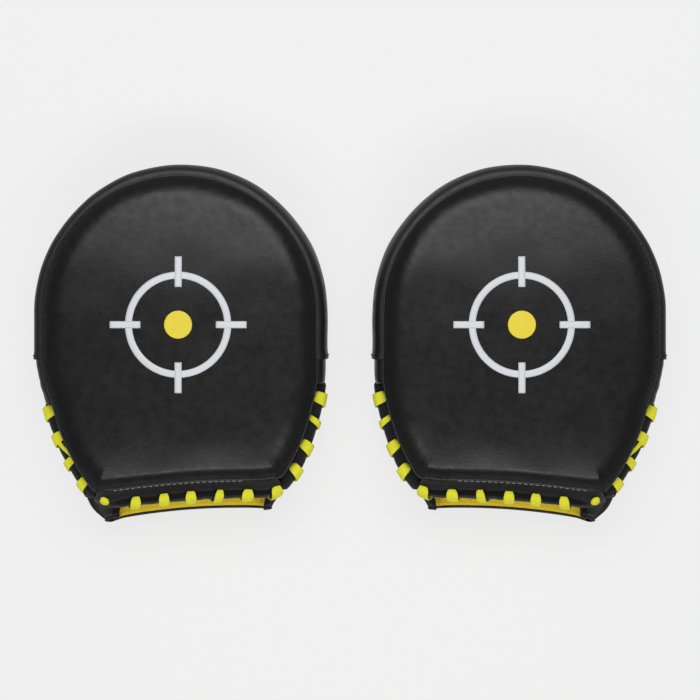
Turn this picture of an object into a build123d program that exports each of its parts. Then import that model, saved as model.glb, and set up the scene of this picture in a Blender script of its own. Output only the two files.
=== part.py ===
"""Pair of boxing focus mitts, lying on their backs with the striking faces up.

Each mitt is designed once, as the right hand's mitt with its thumb side towards +X. The left hand's
mitt is its mirror image. Fingertips point to +Y, the wrist mouth to -Y, and Z = 0 is the surface
that the mitts lie on. Millimetres and degrees.
"""

from build123d import *
from math import acos, cos, degrees, pi, radians, sin
import os

# ---- Plan of one mitt ------------------------------------------------------------------------
HALF_WIDTH = 106.0          # radius of the round top, and half the width
DOME_Y = 24.0               # centre of the round top
SIDE_FOOT_Y = -10.0         # the straight sides end here
LOWER_RADIUS = 164.0        # curve that draws each side in towards the wrist
CORNER_RADIUS = 28.0        # rounding of the two wrist corners
WRIST_TILT = 4.3            # the wrist edge is cut this much askew
WRIST_REACH = 117.7         # distance from the origin to the wrist edge of the pad
CUFF_REACH = 125.6          # the same to the free edge of the cuff
PAIR_SPACING = 242.4        # between the two mitts' centre lines
PLAN_SHIFT_Y = 0.812        # brings the middle of the pair's length to Y = 0

# ---- Heights ---------------------------------------------------------------------------------
CROWN_Z = 78.5              # highest point of the striking face
SEAM_Z = 66.0               # seam between the face cover and the gusset
ROLL_Z = 52.0               # middle of the laced binding roll
PALM_Z = 39.0               # underside of the palm panel
BACK_Z = 6.0                # underside of the back panel
STRAP_AXIS_Z = 2.6          # line about which the wrist strap folds open
GUSSET_FOOT_Z = PALM_Z + 1.6
CORE_FOOT_Z = PALM_Z + 4.0
CORE_TOP_Z = 56.2

# ---- The face seam is sewn a little off centre, and further in at the wrist --------------------
SEAM_SHIFT = (-2.4, -2.2)
SEAM_WRIST_INSET = 9.0
SEAM_BLEND = 6.0            # height below the seam over which both fade out

# ---- Materials -------------------------------------------------------------------------------
LEATHER = 1.8
SKIN = 1.6
LINING = 0.8
ELASTIC = 1.6
TAPE = 1.1                  # binding tape
TAPE_WIDTH = 3.5            # how far the tape reaches in from the cuff's edge
GAP = 0.4                   # between soft layers
TOUCH = 0.05                # between pieces sewn or glued face to face
PANEL_THICK = 1.5           # palm panel
WELT_THICK = 0.95
WELT_INSETS = (5.8, 11.6)   # outer and inner edge of the flat welt
WALL_INSET = 9.8            # upright wall behind the laced roll
PALM_INSET = 6.4
GUSSET_TUCK = 0.5           # the side gussets lie this much further in than the upper one

# ---- Lacing ----------------------------------------------------------------------------------
LACE_COUNT = 15
LACE_WIDTH = 7.0
LACE_THICK = 1.2
LACE_START = 40.0           # first wrap, along the outer side's lower curve
LACE_END = 30.0             # last wrap, along the inner side's lower curve
ROLL_RADIUS = 5.6
ROLL_INSET = 6.4            # the roll's middle, in from the outline
GUSSET_SEAM_REACH = 2.2     # cross seam between upper and side gussets
ROLL_TOP_REACH = 34.3       # cross seam where the lacing starts
RIVET_RADIUS = 2.4
RIVET_HEIGHT = 1.8
LIP_LEFT = -64.0            # the lip strip spans the wrist between these
LIP_RIGHT = 58.0
LIP_LACE_Z = (PALM_Z + 1, 56.0)   # heights between which the laces cross the lip
LACE_GAP = 0.2              # between the lace and the roll
LIP_LACE_GAP = 0.3
LACE_PATH_INSET = 3.0
ROLL_HALF_HEIGHT = 9.0      # the roll and its laces stay within this of the roll's middle

# ---- Wrist strap -----------------------------------------------------------------------------
STRAP_Y = -91.0
STRAP_WIDTH = 34.0
STRAP_LENGTH = 84.0
STRAP_THICK = 1.7
STRAP_HINGE_X = -50.0
STRAP_END_X = STRAP_HINGE_X + STRAP_LENGTH
PAD_FACE_Z = 3.9            # face of the wrist pad that carries the loop patch
HOOK_X = (STRAP_END_X - 40, STRAP_END_X - 2)
LOOP_X = (STRAP_END_X - 58, STRAP_END_X + 6)
PAD_X = (STRAP_HINGE_X + 6, STRAP_END_X + 10)
ANCHOR_X = (STRAP_HINGE_X - 9, STRAP_HINGE_X + 4)
HOOK_THICK = 0.55
LOOP_THICK = 0.5
PATCH_MARGIN = 2.0          # the patches are this much narrower than the strap on each side

# ---- Hand compartment ------------------------------------------------------------------------
HOOD_EDGE_Y = 20.0          # free edge of the finger hood
GRIP_RADIUS = 32.0
GRIP_DEPTH = 18.0
GRIP_Y = -25.0
HOOD_TAPE_WIDTH = 6.0
HOOD_TAPE_PROUD = 0.3
BACK_PAD_INSET = 26.2
BACK_PAD_THICK = 4.0
BACK_PAD_END_Y = -70.0
FINGER_BAND = (0, 124, (28, 62))    # middle X, width and range of Y
THUMB_LOOP = (58, 29, (-33, -9))
LOOP_DEPTH = 21.0
LOOP_CORNER = 6.0
CUFF_ROOT = (-80.0, 79.0)   # (Y, half-width) of the cuff at its two ends
CUFF_END = (-136.0, 58.0)
CUFF_BEVEL = ((16, 0), (10, 4), (6, 12))   # (in from the cuff's half-width, up from its foot)
LINING_REACH = 84.0         # the lining starts here
REST_Y = -117.0             # padded roll that the mitt rests on
REST_LENGTH = 84.0

# ---- Print -----------------------------------------------------------------------------------
MARK_X, MARK_Y = -1.8, 13.0
RING_INNER, RING_OUTER = 33.0, 38.0
TICK_LENGTH, TICK_WIDTH = 22.0, 5.0
DOT_RADIUS = 10.0
INK = 0.3

# ---- Profiles: (inset from the outline, height), from the face side to the back ---------------
CROWN = ((6.2, SEAM_Z + 1.05), (7.6, 71.0), (11.0, 74.8), (16.0, 77.2), (23.0, CROWN_Z))
CROWN_INNER = ((8.0, SEAM_Z + 1.05), (9.4, 70.3), (12.6, 73.5), (17.2, 75.6), (23.6, CROWN_Z - SKIN))
GUSSET = ((7.0, SEAM_Z), (2.5, SEAM_Z - 5), (0.0, SEAM_Z - 12), (1.5, SEAM_Z - 19), (7.0, GUSSET_FOOT_Z))
LIP = ((7.0, SEAM_Z, -9.0), (3.4, 60.0, -6.0), (1.2, 54.0, -2.5), (0.4, 48.0, 0.0), (2.0, GUSSET_FOOT_Z, 0.0))
HOOD = ((7.0, PALM_Z - 0.1), (8.6, PALM_Z - 5), (12.4, 21.0), (17.2, 8.0), (23.0, 0.0))
BACK = ((9.4, PALM_Z - 0.1), (11.0, PALM_Z - 5), (15.0, 23.0), (19.6, 12.0), (24.0, BACK_Z))
LEATHER_LIFT = (0.0, 0.0, 0.3, 0.6, 1.0)   # share of the leather's thickness that is upright, per level

WRIST_ANGLE = WRIST_TILT - 90.0
FOAM_INSET = 12.6
BEYOND = 150.0              # further out than any piece
ALL_Z = (-5.0, 100.0)       # from below the lowest piece to above the highest


def direction(angle):
    """Unit vector in the plan at this angle from +X."""
    return Vector(cos(radians(angle)), sin(radians(angle)))


def lower_corner(side, drop):
    """Centre of one lower side curve, centre of its corner arc, and the angle at which they meet."""
    side_centre = Vector(side * (HALF_WIDTH - LOWER_RADIUS), SIDE_FOOT_Y)
    reach = WRIST_REACH + drop - CORNER_RADIUS - side_centre.dot(direction(WRIST_ANGLE))
    corner_distance = LOWER_RADIUS - CORNER_RADIUS
    meeting_angle = WRIST_ANGLE + side * degrees(acos(reach / corner_distance))
    corner_centre = side_centre + direction(meeting_angle) * corner_distance
    return side_centre, corner_centre, meeting_angle


def outline(inset=0.0, drop=0.0):
    """Outline of the mitt, all round in by inset, with its wrist edge moved out by drop."""
    left_side, left_corner, left_angle = lower_corner(-1, drop)
    right_side, right_corner, right_angle = lower_corner(1, drop)
    dome = CenterArc((0, DOME_Y), HALF_WIDTH - inset, 0, 180)
    left = CenterArc(left_side, LOWER_RADIUS - inset, 180, left_angle + 180)
    left_turn = CenterArc(left_corner, CORNER_RADIUS - inset, left_angle, WRIST_ANGLE - left_angle)
    right_turn = CenterArc(right_corner, CORNER_RADIUS - inset, WRIST_ANGLE, right_angle - WRIST_ANGLE)
    right = CenterArc(right_side, LOWER_RADIUS - inset, right_angle, -right_angle)
    left_edge = Line(dome @ 1, left @ 0)
    wrist_edge = Line(left_turn @ 1, right_turn @ 0)
    right_edge = Line(right @ 1, dome @ 0)
    return Wire([dome, left_edge, left, left_turn, wrist_edge, right_turn, right, right_edge])


def level(inset, height, drop=None):
    """The outline at one height, off centre and short at the wrist as far as the face seam is."""
    share = min(max((height - SEAM_Z + SEAM_BLEND) / SEAM_BLEND, 0.0), 1.0)
    if drop is None:
        drop = -SEAM_WRIST_INSET * share
    return Pos(SEAM_SHIFT[0] * share, SEAM_SHIFT[1] * share, height) * outline(inset, drop)


def stack(profile, grow=0.0):
    """Solid through the outlines of a profile, all of them larger by grow."""
    levels = [level(entry[0] - grow, *entry[1:]) for entry in profile]
    return Solid.make_loft(levels, ruled=True)


def column(inset, low, high):
    """Upright solid of one outline, which follows the face seam where it reaches that high."""
    heights = [low, high]
    if low < SEAM_Z - SEAM_BLEND < high:
        heights.insert(1, SEAM_Z - SEAM_BLEND)
    if low < SEAM_Z < high:
        heights.insert(-1, SEAM_Z)
    return stack([(inset, height) for height in heights])


def block(x_range, y_range, z_range):
    """Box between three pairs of coordinates."""
    sizes = [high - low for low, high in (x_range, y_range, z_range)]
    middle = [(high + low) / 2 for low, high in (x_range, y_range, z_range)]
    return Pos(*middle) * Box(*sizes)


def across(y_range):
    """Everything between two distances towards the fingertips."""
    return block((-BEYOND, BEYOND), y_range, ALL_Z)


def wrist_slab(near, far):
    """Everything between two distances from the origin, square to the wrist edge."""
    slab = Rot(0, 0, WRIST_TILT) * Box(3 * BEYOND, far - near, 2 * BEYOND)
    return Pos(direction(WRIST_ANGLE) * ((near + far) / 2)) * slab


# ---- Striking pad ----------------------------------------------------------------------------
def face_cover():
    return stack(CROWN) - stack(CROWN_INNER)


def seam_welt():
    """Flat welt caught between the face cover and the gussets."""
    low = SEAM_Z + TOUCH
    outer_inset, inner_inset = WELT_INSETS
    return column(outer_inset, low, low + WELT_THICK) - column(inner_inset, low - 1, low + 2)


def gusset_band(grow=0.0):
    return stack(GUSSET, grow) - stack(GUSSET, grow - LEATHER)


def upper_gusset():
    return gusset_band() & wrist_slab(-BEYOND, GUSSET_SEAM_REACH)


def side_gussets():
    """Two short bands between the cross seams and the lacing, tucked under the upper gusset."""
    return gusset_band(-GUSSET_TUCK) & wrist_slab(GUSSET_SEAM_REACH + TOUCH, ROLL_TOP_REACH)


def lip_zone():
    """Part of the wrist edge that the lip strip closes."""
    return block((LIP_LEFT, LIP_RIGHT), (-BEYOND, CUFF_ROOT[0]), ALL_Z)


def lower_gusset():
    """Upright wall behind the laced roll."""
    wall = column(WALL_INSET, GUSSET_FOOT_Z, SEAM_Z) - column(WALL_INSET + LEATHER, PALM_Z, SEAM_Z + 1)
    return (wall & wrist_slab(ROLL_TOP_REACH + TOUCH, BEYOND)) - lip_zone()


def lip_strip():
    """Sloping strip from the bottom stitch line to the lip of the wrist mouth."""
    trimmed = block((LIP_LEFT + GAP, LIP_RIGHT - GAP), (-BEYOND, CUFF_ROOT[0]), ALL_Z)
    return (stack(LIP) - stack(LIP, -LEATHER)) & trimmed


def edge_bolster():
    """Foam roll that fills the gussets round the top and the sides."""
    filled = stack(GUSSET, -GUSSET_TUCK - LEATHER - GAP) - column(FOAM_INSET - GAP, PALM_Z, SEAM_Z + 1)
    return filled & wrist_slab(-BEYOND, ROLL_TOP_REACH - GAP)


def strike_foam():
    foam_top = [(FOAM_INSET, 73.0), (17.4, 75.2), (23.8, CROWN_Z - SKIN - GAP)]
    foam_sides = [(FOAM_INSET, z) for z in (CORE_TOP_Z + 2 * TOUCH, SEAM_Z - SEAM_BLEND, SEAM_Z)]
    return stack(foam_sides + foam_top)


def core_foam():
    return column(FOAM_INSET, CORE_FOOT_Z, CORE_TOP_Z)


def backing_board():
    return column(FOAM_INSET, GUSSET_FOOT_Z + 2 * TOUCH, CORE_FOOT_Z - 2 * TOUCH)


def palm_panel():
    return column(PALM_INSET, PALM_Z, PALM_Z + PANEL_THICK)


def target_print():
    """Generic aiming mark: a ring crossed by four ticks round a centre dot."""
    ring = Circle(RING_OUTER) - Circle(RING_INNER)
    tick = Pos(RING_OUTER, 0) * Rectangle(TICK_LENGTH, TICK_WIDTH)
    ticks = [Rot(0, 0, turn) * tick for turn in (0, 90, 180, 270)]
    mark = ring + ticks + Circle(DOT_RADIUS)
    return Pos(MARK_X, MARK_Y, CROWN_Z + TOUCH) * extrude(mark, INK)


# ---- Hand compartment ------------------------------------------------------------------------
def cuff_section(y, top_half_width, shrink):
    """Cross-section of the cuff at one distance: a trough with bevelled lower corners."""
    foot = BACK_Z + shrink
    top = PALM_Z - 2 * TOUCH
    half = top_half_width - shrink
    right_side = [(half - inset, foot + rise) for inset, rise in CUFF_BEVEL] + [(half, top)]
    left_side = [(-x, z) for x, z in reversed(right_side)]
    points = [Vector(x, y, z) for x, z in right_side + left_side]
    return Wire.make_polygon(points, close=True)


def cuff_trough(shrink=0.0):
    """The cuff as a solid, narrowing towards the wrist."""
    return Solid.make_loft([cuff_section(*end, shrink) for end in (CUFF_ROOT, CUFF_END)], ruled=True)


def inside_of(profile):
    """The inner face of a leather shell with this outer profile."""
    lifts = [LEATHER * share for share in LEATHER_LIFT]
    return [(inset + LEATHER, height + lift) for (inset, height), lift in zip(profile, lifts)]


def finger_hood():
    """Leather over the fingertips: the upper half of the back."""
    return (stack(HOOD) - stack(inside_of(HOOD))) & across((HOOD_EDGE_Y, BEYOND))


def hood_binding():
    """Tape that doubles the hood's free edge, clear of the ground."""
    outer = HOOD[:-1] + ((HOOD[-1][0], HOOD[-1][1] + GAP),)
    tape = stack(outer, HOOD_TAPE_PROUD) - stack(inside_of(HOOD))
    return tape & across((HOOD_EDGE_Y - HOOD_TAPE_WIDTH, HOOD_EDGE_Y - TOUCH))


def back_panel():
    """Leather over the back of the hand, running out into the cuff, tucked under the hood."""
    outer = stack(BACK) + (cuff_trough() & wrist_slab(0, CUFF_REACH))
    hollow = stack(inside_of(BACK)) + cuff_trough(LEATHER)
    return (outer - hollow) & across((-BEYOND, HOOD_EDGE_Y + HOOD_TAPE_WIDTH))


def back_pad():
    """Foam over the back of the hand."""
    floor = BACK_Z + LEATHER + TOUCH
    return column(BACK_PAD_INSET, floor, floor + BACK_PAD_THICK) & across((BACK_PAD_END_Y, HOOD_EDGE_Y))


def cuff_wall(low, high, near, far):
    """Layer of the cuff between two depths from its outside, over part of its length."""
    return (cuff_trough(low) - cuff_trough(high)) & wrist_slab(near, far)


def cuff_lining():
    return cuff_wall(LEATHER + TOUCH, LEATHER + LINING, LINING_REACH, CUFF_REACH - TOUCH)


def cuff_binding():
    """Tape folded over the free edge of the back panel and the lining."""
    full_depth = LEATHER + LINING
    tape = cuff_wall(-TAPE, full_depth + TAPE, CUFF_REACH - TAPE_WIDTH, CUFF_REACH + TAPE)
    return tape - cuff_wall(-TOUCH, full_depth + TOUCH, 0, CUFF_REACH + TOUCH)


def palm_grip():
    """Foam dome that the palm closes on, glued under the palm panel."""
    centre_z = PALM_Z + GRIP_RADIUS - GRIP_DEPTH
    dome = Pos(0, GRIP_Y, centre_z) * Sphere(GRIP_RADIUS)
    return dome & block((-BEYOND, BEYOND), (-BEYOND, BEYOND), (0, PALM_Z - TOUCH))


def hanging_loop(x_middle, width, y_range):
    """Elastic loop hung from the palm panel, open along the fingers."""
    top = PALM_Z - TOUCH
    foot = top - LOOP_DEPTH
    x_range = (x_middle - width / 2, x_middle + width / 2)
    inner_x = (x_range[0] + ELASTIC, x_range[1] - ELASTIC)
    outer = block(x_range, y_range, (foot, top))
    inner = block(inner_x, (y_range[0] - 1, y_range[1] + 1), (foot + ELASTIC, top + 1))
    outer = fillet(outer.edges().filter_by(Axis.Y).group_by(Axis.Z)[0], LOOP_CORNER)
    inner = fillet(inner.edges().filter_by(Axis.Y).group_by(Axis.Z)[0], LOOP_CORNER - ELASTIC)
    return outer - inner


def finger_band():
    return hanging_loop(*FINGER_BAND)


def thumb_loop():
    return hanging_loop(*THUMB_LOOP)


# ---- Wrist strap -----------------------------------------------------------------------------
def strap_layer(x_range, z_range, margin=0.0):
    """Flat layer of the closure, narrower than the strap by a margin on each side."""
    half = STRAP_WIDTH / 2 - margin
    return block(x_range, (STRAP_Y - half, STRAP_Y + half), z_range)


def wrist_strap():
    """Strap with a rolled hem at the end that it folds about."""
    strip = strap_layer((STRAP_HINGE_X, STRAP_END_X), (STRAP_AXIS_Z - STRAP_THICK, STRAP_AXIS_Z))
    hem = Pos(STRAP_HINGE_X, STRAP_Y, STRAP_AXIS_Z) * Rot(90, 0, 0) * Cylinder(STRAP_THICK, STRAP_WIDTH)
    return strip + hem


def hook_patch():
    low = STRAP_AXIS_Z + TOUCH
    return strap_layer(HOOK_X, (low, low + HOOK_THICK), PATCH_MARGIN)


def loop_patch():
    high = PAD_FACE_Z - TOUCH
    return strap_layer(LOOP_X, (high - LOOP_THICK, high), PATCH_MARGIN)


def wrist_pad():
    """Pad under the loop patch, wider than the strap."""
    return strap_layer(PAD_X, (PAD_FACE_Z, BACK_Z - TOUCH), -PATCH_MARGIN)


def strap_anchor():
    """Leather tab that holds the strap's hem to the back panel."""
    low = STRAP_AXIS_Z + STRAP_THICK + 2 * TOUCH
    return strap_layer(ANCHOR_X, (low, BACK_Z - TOUCH))


def wrist_roll():
    """Padded roll along the cuff, on which the mitt rests."""
    half = (BACK_Z - TOUCH) / 2
    return Pos(0, REST_Y, half) * Rot(0, 90, 0) * Cylinder(half, REST_LENGTH)


# ---- Lacing ----------------------------------------------------------------------------------
def roll_profile(radius):
    """Outer half of the laced roll, from its top round to its underside."""
    steps = (80, 48, 16, -16, -48, -80)
    return [(ROLL_INSET - radius * cos(radians(a)), ROLL_Z + radius * sin(radians(a))) for a in steps]


def roll_wall(inner_radius, outer_radius):
    """Layer round the roll, open towards the gusset wall."""
    behind = column(WALL_INSET - LACE_GAP, ROLL_Z - ROLL_HALF_HEIGHT, SEAM_Z - SEAM_BLEND)
    wall = stack(roll_profile(outer_radius)) - behind
    if inner_radius:
        wall = wall - stack(roll_profile(inner_radius))
    return wall


def lace_binding():
    """Webbing roll between the pad and the back, which the laces go round."""
    return (roll_wall(0, ROLL_RADIUS) & wrist_slab(ROLL_TOP_REACH + 1, BEYOND)) - lip_zone()


def lace_stations():
    """Planes across the lacing, one per wrap, evenly spaced along the lower outline."""
    path = outline(LACE_PATH_INSET)
    edges = path.edges()
    side_length = DOME_Y - SIDE_FOOT_Y
    start = pi * (HALF_WIDTH - LACE_PATH_INSET) + side_length + LACE_START
    end = path.length - side_length - LACE_END
    pitch = (end - start) / (LACE_COUNT - 1)
    stations = []
    for wrap in range(LACE_COUNT):
        share = (start + wrap * pitch) / path.length
        stations.append(Plane(path.position_at(share), x_dir=path.tangent_at(share), z_dir=(0, 0, 1)))
    return stations


def lace():
    """The wraps of the flat lace: round the roll at the sides, over the lip at the wrist."""
    side_lace = roll_wall(ROLL_RADIUS + LACE_GAP, ROLL_RADIUS + LACE_GAP + LACE_THICK)
    lip_lace = stack(LIP, LIP_LACE_GAP + LACE_THICK) - stack(LIP, LIP_LACE_GAP)
    side_range = (ROLL_Z - ROLL_HALF_HEIGHT, ROLL_Z + ROLL_HALF_HEIGHT)
    wraps = []
    for station in lace_stations():
        at_lip = LIP_LEFT < station.origin.X < LIP_RIGHT
        low, high = LIP_LACE_Z if at_lip else side_range
        slice_box = station * Pos(0, 0, (low + high) / 2) * Box(LACE_WIDTH, 2 * CORNER_RADIUS, high - low)
        wraps.append((lip_lace if at_lip else side_lace) & slice_box)
    return wraps


def corner_rivet():
    """Domed rivet that closes the outer end of the lace binding."""
    _, corner_centre, meeting_angle = lower_corner(-1, 0.0)
    outward = direction(meeting_angle)
    seat = corner_centre + outward * (CORNER_RADIUS - ROLL_INSET + ROLL_RADIUS + TOUCH)
    head = Pos(0, 0, RIVET_HEIGHT / 2) * Cylinder(RIVET_RADIUS, RIVET_HEIGHT)
    head = fillet(head.edges().group_by(Axis.Z)[-1], RIVET_HEIGHT * 0.8)
    return Plane(seat + Vector(0, 0, ROLL_Z), z_dir=outward) * head


PIECES = {
    "face_cover": face_cover,
    "target_print": target_print,
    "seam_welt": seam_welt,
    "upper_gusset": upper_gusset,
    "side_gussets": side_gussets,
    "lower_gusset": lower_gusset,
    "lip_strip": lip_strip,
    "edge_bolster": edge_bolster,
    "strike_foam": strike_foam,
    "core_foam": core_foam,
    "backing_board": backing_board,
    "palm_panel": palm_panel,
    "palm_grip": palm_grip,
    "finger_band": finger_band,
    "thumb_loop": thumb_loop,
    "finger_hood": finger_hood,
    "hood_binding": hood_binding,
    "back_panel": back_panel,
    "back_pad": back_pad,
    "cuff_lining": cuff_lining,
    "cuff_binding": cuff_binding,
    "wrist_pad": wrist_pad,
    "wrist_roll": wrist_roll,
    "wrist_strap": wrist_strap,
    "hook_patch": hook_patch,
    "loop_patch": loop_patch,
    "strap_anchor": strap_anchor,
    "lace_binding": lace_binding,
    "lace": lace,
    "corner_rivet": corner_rivet,
}


def solids_of(result):
    """Every solid in a piece, whether it came as one shape or as a list."""
    shapes = result if isinstance(result, list) else [result]
    return [solid for shape in shapes for solid in shape.solids()]


def main():
    os.makedirs("parts", exist_ok=True)
    half_spacing = PAIR_SPACING / 2
    for name, make_piece in PIECES.items():
        solids = solids_of(make_piece())
        right = Pos(-half_spacing, PLAN_SHIFT_Y, 0) * Compound(solids)
        export_step(right, f"parts/right_{name}.step")
        export_step(mirror(right, about=Plane.YZ), f"parts/left_{name}.step")


main()
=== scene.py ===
"""Looks of a pair of boxing focus mitts, lying on their backs with the striking faces up.

Every shape is worked out once in the plan of one mitt, in millimetres, as the right hand's mitt: the
thumb side is +X, the fingertips +Y, the striking face +Z. The left hand's mitt is the mirror image.
"""

import math

import bpy
import bmesh
import numpy as np
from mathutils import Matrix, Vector


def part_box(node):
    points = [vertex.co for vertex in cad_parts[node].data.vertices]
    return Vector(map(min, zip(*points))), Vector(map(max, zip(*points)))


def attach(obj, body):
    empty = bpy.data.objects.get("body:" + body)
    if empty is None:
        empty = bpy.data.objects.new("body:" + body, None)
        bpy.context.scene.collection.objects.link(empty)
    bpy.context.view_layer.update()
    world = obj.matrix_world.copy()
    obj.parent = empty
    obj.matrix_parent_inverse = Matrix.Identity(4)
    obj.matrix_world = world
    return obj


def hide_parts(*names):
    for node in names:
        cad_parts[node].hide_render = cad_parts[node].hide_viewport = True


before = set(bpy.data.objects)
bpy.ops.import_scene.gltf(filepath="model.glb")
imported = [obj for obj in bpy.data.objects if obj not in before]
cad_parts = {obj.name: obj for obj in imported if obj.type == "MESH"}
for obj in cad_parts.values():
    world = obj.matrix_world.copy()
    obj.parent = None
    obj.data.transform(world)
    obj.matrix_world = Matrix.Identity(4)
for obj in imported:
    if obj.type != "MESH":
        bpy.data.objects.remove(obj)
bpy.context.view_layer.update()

MM = 0.001
FULL_TURN = 6.2832
SIDES = ("right", "left")
ALONG_X, ALONG_Y, UP = np.eye(3)

# ---- Plan of one mitt ------------------------------------------------------------------------
GUSSET_LOW, GUSSET_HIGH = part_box("right_upper_gusset")
HALF_WIDTH = (GUSSET_HIGH.x - GUSSET_LOW.x) / 2 / MM    # radius of the round top, and half the width
MITT_X = (GUSSET_HIGH.x + GUSSET_LOW.x) / 2 / MM        # middle of the right mitt
DOME_Y = 24.0               # centre of the round top
MITT_Y = GUSSET_HIGH.y / MM - DOME_Y - HALF_WIDTH       # where the plan's Y = 0 lies
SIDE_FOOT_Y = -10.0         # the straight sides end here
LOWER_RADIUS = 164.0        # curve that draws each side in towards the wrist
CORNER_RADIUS = 28.0
WRIST_ANGLE = -85.7         # direction that the wrist edge faces
WRIST_REACH = 117.7         # distance from the origin to the wrist edge of the pad
SIDE_REACH = 2.2            # cross seam between the upper and side gussets
ROLL_REACH = 34.3           # cross seam where the lacing starts

# ---- Heights ---------------------------------------------------------------------------------
CROWN_Z = 79.0              # highest point of the striking face
SHOULDER = 6.5              # how far the face stands above its seam at the sides
WRIST_DROP, TOP_DROP = 2.0, 1.5     # and how much less at the wrist and at the fingertips
BACK_SEAM_Z = 40.2          # seam between the gussets and the back
ROLL_Z = 52.0               # middle of the laced binding roll

# ---- Face seam: off centre, further in at the wrist, and arched there -------------------------
SEAM_INSET = 7.0
SEAM_SIDE_INSET = 2.8       # further in beside the lacing
SEAM_WRIST_INSET = 10.8
SEAM_ARCH = 2.6
SHOULDER_WIDTH = 20.0       # of the rounded shoulder inside the seam
SIDE_WIDER, WRIST_NARROWER, TOP_NARROWER = 5.0, 10.5, 2.0
FACE_MIDDLE = np.array([-1.2, 4.0])     # the face's rings close in on this point
SKIN = 1.6                  # leather of the face
LEATHER = 1.8
GUSSET_BULGE, SIDE_BULGE = 7.0, 6.4
RIM_STEP = 2.2              # between cross-sections along the rim

# ---- Lacing ----------------------------------------------------------------------------------
LACE_COUNT = 15
LACE_THICK = 1.1
LACE_WIDTH = 8.0            # that the lace's section is drawn at
FIRST_WRAP_REACH, LAST_WRAP_REACH = 42.1, 47.2
WRAP_START, WRAP_TURN = 118, 216    # degrees: where a side wrap leaves the gap, and how far it goes
KNOT_LENGTH = 1.28          # against its width
ROLL_RADIUS = 5.6
ROLL_INSET = 6.4            # the roll's middle, in from the outline
KNOT_WRAP = 4               # counted from 0, this one is a knot on the lip
LAST_LIP_WRAP = 10          # the ones from there to here go over the lip, the others round the roll
THUMB_CORNER = (80.0, -94.0)   # the roll is fullest here
LIP_LEFT = -66.0            # the lip strip spans the wrist between these
LIP_RIGHT = 74.0
LIP_ARCH = 2.2
# Width of each wrap, from the outer side round to the thumb side, how far it slants, and how far it
# lies from its place in an even row.
WRAP_WIDTHS = (9.6, 8.4, 6.4, 7.6, 7.0, 7.0, 7.2, 7.4, 6.0, 8.0, 8.0, 8.2, 8.4, 4.8, 9.2)
WRAP_SLANTS = (6.0, 6.0, 6.5, 6.0, 0.0, 7.0, 3.2, 3.4, 9.5, 5.4, 8.5, 8.0, 7.5, 8.5, 5.0)
WRAP_SHIFTS = (1.2, 0.7, 0.0, -2.5, 1.3, 3.6, 3.7, 2.3, 1.6, 1.6, 2.4, 4.8, 3.0, 1.9, -1.5)

# ---- Leather behind the roll and over the lip: (inset, share, rise), as band takes them ---------
LOWER_WALL = (
    (7, 1, 1), (9.2, 0.9, 0.86), (12.2, 0.6, 0.62),
    (12.3, 0.3, 0.36), (9.5, 0.05, 0.12), (7.6, 0, 0),
)
LIP_POINTS = (
    (7, 1, 1), (5.6, 0.93, 0.95), (4.4, 0.74, 0.8), (2.6, 0.46, 0.62),
    (1.0, 0.16, 0.42), (0.1, 0, 0.22), (0.9, 0, 0.04), (3.4, 0, -0.03),
)

# ---- Hand compartment ------------------------------------------------------------------------
HOOD_EDGE_Y = 20.0          # free edge of the finger hood
HOOD_POINTS = ((7.4, 39.6), (6.6, 34), (8.2, 24), (13, 11), (20, 3.6), (30, 0.9), (44, 0.35))   # (inset, Z)
# Widest half-widths of the back, from the hood to the rim of the mouth: (Y, half-width).
BACK_TOP = ((26, 95), (-10, 96), (-40, 94.5))
BACK_RIGHT = BACK_TOP + ((-75, 89.5), (-89, 86.5), (-100, 79.5), (-110, 71.5), (-119, 64), (-133, 59))
BACK_LEFT = BACK_TOP + ((-75, 88), (-89, 82.5), (-100, 76), (-108, 75.5), (-115, 73.5))
BACK_LEFT += ((-122, 70), (-129, 63), (-134, 54))
WALL_LINE = ((1.6, 39.3), (0.4, 34), (0, 27), (2.6, 17), (8.5, 9.6), (17, 6.6), (28, 6.1))   # (inset, Z)
MOUTH_Y = -126.4
MOUTH_ARCH = 3.0
CURL_LEFT, CURL_RIGHT = 15.5, 6.0     # how far the mouth's corners curl in over it
MOUTH_RISE = 2.5            # the back lifts towards the rim of the mouth
CLOTH, ELASTIC = 0.8, 1.6     # thicknesses

# ---- Wrist strap -----------------------------------------------------------------------------
STRAP_UNDER, STRAP_OVER = 0.2, 1.7      # its two faces, above the foot of its CAD node
HEM_RADIUS = 1.65
# Flat pieces: name, CAD node, radius of the corners and of the edges, look, body and fill.
FLAT_PIECES = (
    ("hook_face", "hook_patch", 2.5, 0.25, "hook_and_loop", "strap", None),
    ("loop_face", "loop_patch", 2.5, 0.25, "hook_and_loop", "mitt", None),
    ("closure_pad", "wrist_pad", 6.0, 0.9, "back_leather", "mitt", 0.9),
    ("anchor_tab", "strap_anchor", 3.0, 0.7, "back_leather", "mitt", None),
)

# ---- Stitches: pitch, length and thread radius ------------------------------------------------
FACE_STITCH = (4.4, 3.1, 0.34)
LIP_STITCH = (4.3, 3.2, 0.3)
CROSS_STITCH = (4.2, 2.9, 0.4)
HOOD_STITCH = (4.4, 3.0, 0.35)
EDGE_STITCH = (3.6, 2.5, 0.28)
EDGE_INSET = 2.0            # stitches on the strap and its tab, in from the edge

# ---- Print -----------------------------------------------------------------------------------
MARK_MIDDLE = np.array([-1.8, 13.0])
RING_RADII = (33, 38)
TICK_ENDS = (27, 49)        # distances from the middle
TICK_HALF_WIDTH = 2.5
DOT_RADII = (10.0, 9.4, 7, 4, 1)
INK_LIFT, INK_THICK = 0.12, 0.2

# ---- Stage -----------------------------------------------------------------------------------
FLOOR_GLOW, WORLD_GLOW = 0.735, 0.18
CAMERA_PLACE, CAMERA_LENS = (0, -0.0043, 1.47), 100
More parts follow.
